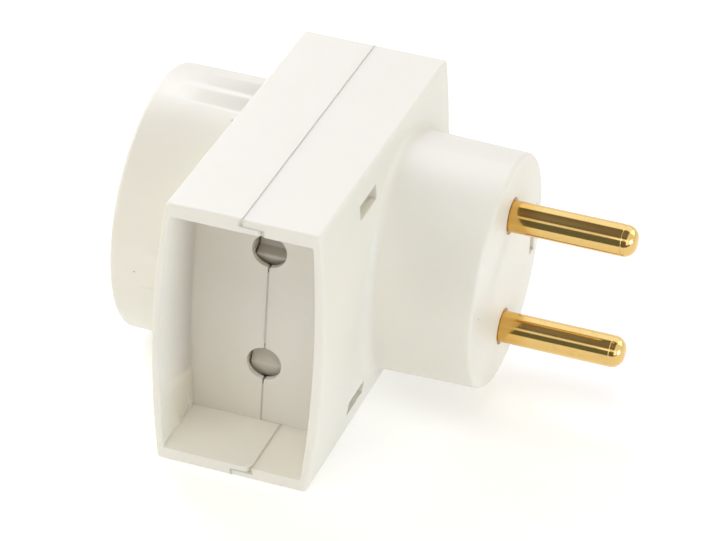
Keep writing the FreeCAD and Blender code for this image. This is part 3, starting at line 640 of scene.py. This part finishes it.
@dataclass
class SeamRib:
    """The ribs that close the hair gaps between the two shells just below the surface. In main they get a
    darker cream, which is painted shade along the seams.
    """

    seam_mm: float = -28.9
    width_mm: float = 0.20
    wall_top_mm: float = 21.3
    sink_mm: float = 0.07
    lap_mm: tuple[float, float] = (20.21, 20.29)
    lap_reach_mm: float = 3.0
    lap_end_mm: tuple[float, float] = (3.02, 3.28)
    lap_end_level_mm: tuple[float, float] = (19.37, 20.2)
    front_mm: float = -36.6
    rear_mm: float = 21.0
    floor_mm: float = -24.2
    floor_wall_mm: float = 0.9
    hole_level_mm: float = 9.5
    hole_clear_mm: float = 3.5
    floor_end_mm: float = 19.2

    def boxes(self) -> list[tuple[tuple[float, float], ...]]:
        """Give each rib's reach in x, y and z."""
        gap = (self.seam_mm - self.width_mm / 2, self.seam_mm + self.width_mm / 2)
        along = (self.front_mm + self.sink_mm, self.rear_mm - self.sink_mm)
        floor = (self.floor_mm + self.sink_mm, self.floor_mm + self.floor_wall_mm - 0.1)
        lap = (gap[0], self.seam_mm + self.lap_reach_mm)
        high = (self.lap_mm[1], self.wall_top_mm - self.sink_mm)
        over = (self.hole_level_mm + self.hole_clear_mm, self.floor_end_mm)
        between = self.hole_level_mm - self.hole_clear_mm
        boxes = [(gap, floor, (-between, between))]
        for low, top in (high, over, self.lap_mm):
            reach = (gap, floor) if (low, top) == over else (gap, along)
            if (low, top) == self.lap_mm:
                reach = (lap, (along[0], self.floor_mm))
            boxes += [(*reach, (low, top)), (*reach, (-top, -low))]
        inner = tuple(self.seam_mm + out for out in self.lap_end_mm)
        low, top = self.lap_end_level_mm
        mouth = (along[0], self.floor_mm)
        return [*boxes, (inner, mouth, (low, top)), (inner, mouth, (-top, -low))]

    def build(self) -> bpy.types.Object:
        """Place one slim box for each stretch of the seam."""
        form = bmesh.new()
        for box in self.boxes():
            place = Vector([(low + high) / 2 for low, high in box]) * MM
            size = Vector([high - low for low, high in box]) * MM
            bmesh.ops.create_cube(form, size=1.0, matrix=Matrix.LocRotScale(place, None, size))
        bmesh.ops.recalc_face_normals(form, faces=form.faces)
        piece = new_piece("seam_rib", form)
        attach(piece, Body.HOUSING.value)
        return piece


@dataclass
class Studio:
    """Pale floor, white surround, soft lamps, dim flags and a bright card that only reflections see, and the
    photograph's camera. The flags and the card are painted reflections on the pins.

    The floor is an under-lit table: it gives light of its own, which reaches the undersides.
    """

    floor_level: float
    camera_target_mm: tuple[float, float, float] = (-20.46, -6.96, -1.10)
    camera_distance_mm: float = 516.9
    camera_azimuth: float = 16.99
    camera_elevation: float = 31.09
    camera_roll: float = 3.78
    focal_px: float = 3505.0
    floor_half_mm: float = 3000.0
    floor_glow: float = 0.24
    floor_lift: float = 0.15
    world_strength: float = 0.175
    flag_radius_mm: float = 450.0
    flag_reach_mm: tuple[float, float] = (-900.0, 260.0)
    lower_flag_near_mm: float = -72.0
    lower_flag_top_mm: float = 208.0

    def camera(self) -> None:
        """Place the camera by its angles about the point that it looks at."""
        azimuth, elevation = math.radians(self.camera_azimuth), math.radians(self.camera_elevation)
        back = Vector((math.sin(azimuth) * math.cos(elevation), -math.cos(azimuth) * math.cos(elevation),
                       math.sin(elevation)))
        lens = bpy.data.cameras.new("camera")
        lens.sensor_width = SENSOR_WIDTH
        lens.lens = self.focal_px * SENSOR_WIDTH / IMAGE_WIDTH
        lens.clip_start, lens.clip_end = 0.01, 20.0
        holder = bpy.data.objects.new("camera", lens)
        turn = (-back).to_track_quat("-Z", "Y") @ Quaternion((0, 0, 1), math.radians(self.camera_roll))
        holder.matrix_world = Matrix.LocRotScale(
            Vector(self.camera_target_mm) * MM + back * self.camera_distance_mm * MM, turn, None)
        bpy.context.scene.collection.objects.link(holder)
        bpy.context.scene.camera = holder

    def seen_directly(self, tree: bpy.types.NodeTree) -> bpy.types.NodeSocket:
        """Give one where the camera, a reflection or clear material looks, and zero elsewhere."""
        seen = add_node(tree, "LightPath")
        direct = add_node(tree, "Math", {0: seen.outputs["Is Camera Ray"], 1: seen.outputs["Is Glossy Ray"]},
                          operation="MAXIMUM")
        return add_node(tree, "Math", {0: direct.outputs[0], 1: seen.outputs["Is Transmission Ray"]},
                        operation="MAXIMUM").outputs[0]

    def floor(self) -> None:
        """Lay the pale floor: a lit table, white to the camera, with the shadow kept."""
        material, tree, surface = new_material("pale_lit_table")
        diffuse = add_node(tree, "BsdfDiffuse", values={"Color": linear("#E8E8E6")})
        glow = add_node(tree, "MapRange", {"Value": self.seen_directly(tree)},
                        {"To Min": self.floor_glow, "To Max": self.floor_glow + self.floor_lift})
        light = add_node(tree, "Emission", {"Strength": glow.outputs["Result"]}, {"Color": (1, 1, 1, 1)})
        both = add_node(tree, "AddShader", {0: diffuse.outputs[0], 1: light.outputs[0]})
        tree.links.new(both.outputs[0], surface)
        form = bmesh.new()
        bmesh.ops.create_grid(form, x_segments=1, y_segments=1, size=self.floor_half_mm * MM)
        bmesh.ops.translate(form, verts=form.verts, vec=(0, 0, self.floor_level))
        floor = new_piece("floor", form)
        dress(floor, material)

    def world(self) -> None:
        """Surround everything with white that only the camera, metal and clear material see."""
        world = bpy.data.worlds.new("surround")
        bpy.context.scene.world = world
        world.use_nodes = True
        tree = world.node_tree
        tree.nodes.clear()
        level = add_node(tree, "MapRange", {"Value": self.seen_directly(tree)},
                         {"To Min": self.world_strength, "To Max": 1.0})
        light = add_node(tree, "Background", {"Strength": level.outputs["Result"]},
                         {"Color": (1.0, 1.0, 1.0, 1.0)})
        output = add_node(tree, "OutputWorld")
        tree.links.new(light.outputs[0], output.inputs["Surface"])

    def flag(self, name: str, form: bmesh.types.BMesh, shade: tuple[float, float, float],
             rise: float) -> None:
        """Hang one flag beside the pins: a glowing sheet that only reflections see. It is a painted reflection
        band on the pins and on the plastic's sheen.

        Args:
            name: Name of the flag.
            form: Its sheet, which is freed.
            shade: Linear colour of its dim face.
            rise: How many times brighter the sheet is at the flag radius above the origin.
        """
        flag = new_piece(name, form)
        material, tree, surface = new_material(name)
        height = add_node(tree, "SeparateXYZ", {"Vector": object_coordinates(tree)})
        fade = add_node(tree, "MapRange", {"Value": height.outputs["Z"]},
                        {"From Min": self.flag_radius_mm * 0.45 * MM, "From Max": self.flag_radius_mm * MM,
                         "To Min": 1.0, "To Max": rise})
        dim = add_node(tree, "Emission", {"Strength": fade.outputs["Result"]}, {"Color": (*shade, 1.0)})
        tree.links.new(dim.outputs[0], surface)
        dress(flag, material)
        flag.visible_camera = flag.visible_diffuse = flag.visible_shadow = False
        flag.visible_transmission = flag.visible_volume_scatter = False

    def overhead(self, name: str, degrees: tuple[float, float], shade: tuple[float, float, float],
                 rise: float) -> None:
        """Hang one curved card over the pins: a glowing sheet that only reflections see, which is a painted
        reflection band on the pins.

        Args:
            name: Name of the card.
            degrees: Where it starts and ends, turned up from the front about the pins' direction.
            shade: Linear colour of its face.
            rise: How many times brighter it is at its highest.
        """
        form = bmesh.new()
        low, high = self.flag_reach_mm
        edges = profile(form, [(low, -self.flag_radius_mm, 0.0), (high, -self.flag_radius_mm, 0.0)])
        bmesh.ops.rotate(form, verts=form.verts, cent=(0, 0, 0),
                         matrix=Matrix.Rotation(-math.radians(degrees[0]), 3, "X"))
        bmesh.ops.spin(form, geom=[*form.verts, *edges], cent=(0, 0, 0), axis=(-1, 0, 0), steps=24,
                       angle=math.radians(degrees[1] - degrees[0]))
        self.flag(name, form, shade, rise)

    def lower_flag(self) -> None:
        """Lay the low flag on the table in front of the pins, with its far side turned up. Only reflections see
        it, so it paints the low dark band on the pins.
        """
        form = bmesh.new()
        low, high = self.flag_reach_mm
        level = self.floor_level / MM + 1.0
        edges = profile(form, [(low, self.lower_flag_near_mm, level), (low, -self.flag_radius_mm, level),
                               (low, -self.flag_radius_mm, self.lower_flag_top_mm)])
        made = bmesh.ops.extrude_edge_only(form, edges=edges)
        bmesh.ops.translate(form, vec=((high - low) * MM, 0, 0),
                            verts=[item for item in made["geom"] if isinstance(item, bmesh.types.BMVert)])
        self.flag("lower_flag", form, (0.155, 0.17, 0.145), 1.0)

    def lamp(self, name: str, place_mm: tuple[float, float, float], size_mm: float, power: float,
             colour: tuple[float, float, float]) -> None:
        """Hang one square soft lamp that faces the object.

        Args:
            name: Name of the lamp.
            place_mm: Where it hangs.
            size_mm: Length of its sides.
            power: Power in watts.
            colour: Linear colour.
        """
        light = bpy.data.lights.new(name, "AREA")
        light.size = size_mm * MM
        light.energy = power
        light.color = colour
        holder = bpy.data.objects.new(name, light)
        place = Vector(place_mm) * MM
        target = Vector(self.camera_target_mm) * MM
        holder.matrix_world = Matrix.LocRotScale(place, (target - place).to_track_quat("-Z", "Y"), None)
        bpy.context.scene.collection.objects.link(holder)

    def build(self) -> None:
        """Set the whole studio up."""
        bpy.context.scene.view_settings.view_transform = "Standard"
        self.camera()
        self.floor()
        self.world()
        self.lamp("back_left", (-500, 600, 700), 600, 4.1, (0.97, 1.0, 1.27))
        self.lamp("back_right", (600, 600, 600), 600, 2.2, (1.15, 1.0, 0.78))
        self.lamp("left", (-900, 0, 350), 600, 1.5, (1.02, 1.0, 0.45))
        self.lamp("front_left", (-700, -700, 400), 700, 2.4, (1.04, 1.0, 1.06))
        self.lamp("front_right", (600, -800, 300), 600, 0.66, (1.3, 1.0, 0.86))
        self.lamp("over_front", (0, -400, 850), 500, 2.5, (0.99, 1.0, 0.97))
        self.lamp("low_right", (900, -250, 80), 400, 3.0, (0.85, 1.0, 1.16))
        # Painted reflections: a dim flag and a bright card that only reflections see make the bands on the
        # pins.
        self.overhead("upper_flag", (39.5, 105.0), (0.145, 0.13, 0.115), 1.3)
        self.overhead("bright_card", (109.0, 152.0), (1.25, 1.33, 1.45), 1.0)
        self.lower_flag()
        log.info("studio ready")


def dress_frame() -> dict[str, bpy.types.Material]:
    """Give every CAD node its finish.

    Returns:
        The finish of each material slot.
    """
    finishes = {Slot.SHELL.value: IVORY.build(), Slot.PIN.value: PIN_BRASS.build(),
                Slot.CONTACT.value: CONTACT_BRASS.build(), Slot.SHUTTER.value: SHUTTER_GREY.build(),
                Slot.SPRING.value: SPRING_STEEL.build()}
    for part in frame["record"]["subparts"]:
        dress(frame["nodes"][part["node"]], finishes[part["material_slot"]])
        log.info("%s dressed as %s", part["node"], part["material_slot"])
    return finishes


def main() -> None:
    """Build the pieces and the studio in order."""
    logging.basicConfig(level=logging.INFO, format="%(name)s: %(message)s")
    finishes = dress_frame()
    for node, level in (("upper_pin", 9.5), ("lower_pin", -9.5)):
        dress(TurnedPin(node, level).build(), finishes[Slot.PIN.value])
        log.info("%s turned", node)
    dress(DrumSideShell().build(frame["nodes"]), finishes[Slot.SHELL.value])
    log.info("drum side shell closed")
    # The seam rib's darker cream is painted shade along the seams.
    dress(SeamRib().build(), SEAM_SHADE_IVORY.build())
    log.info("seam rib placed")
    springs = (CoilSpring("side_spring", "side_shutter_slide", (-28.9, -21.2)),
               CoilSpring("end_spring", "end_shutter_slide", (-39.6, 0.0)))
    for spring in springs:
        dress(spring.build(), finishes[Slot.SPRING.value])
        log.info("%s wound", spring.node)
    Studio(floor_level=CAD_BOX[0][2]).build()


if __name__ == "__main__":
    main()
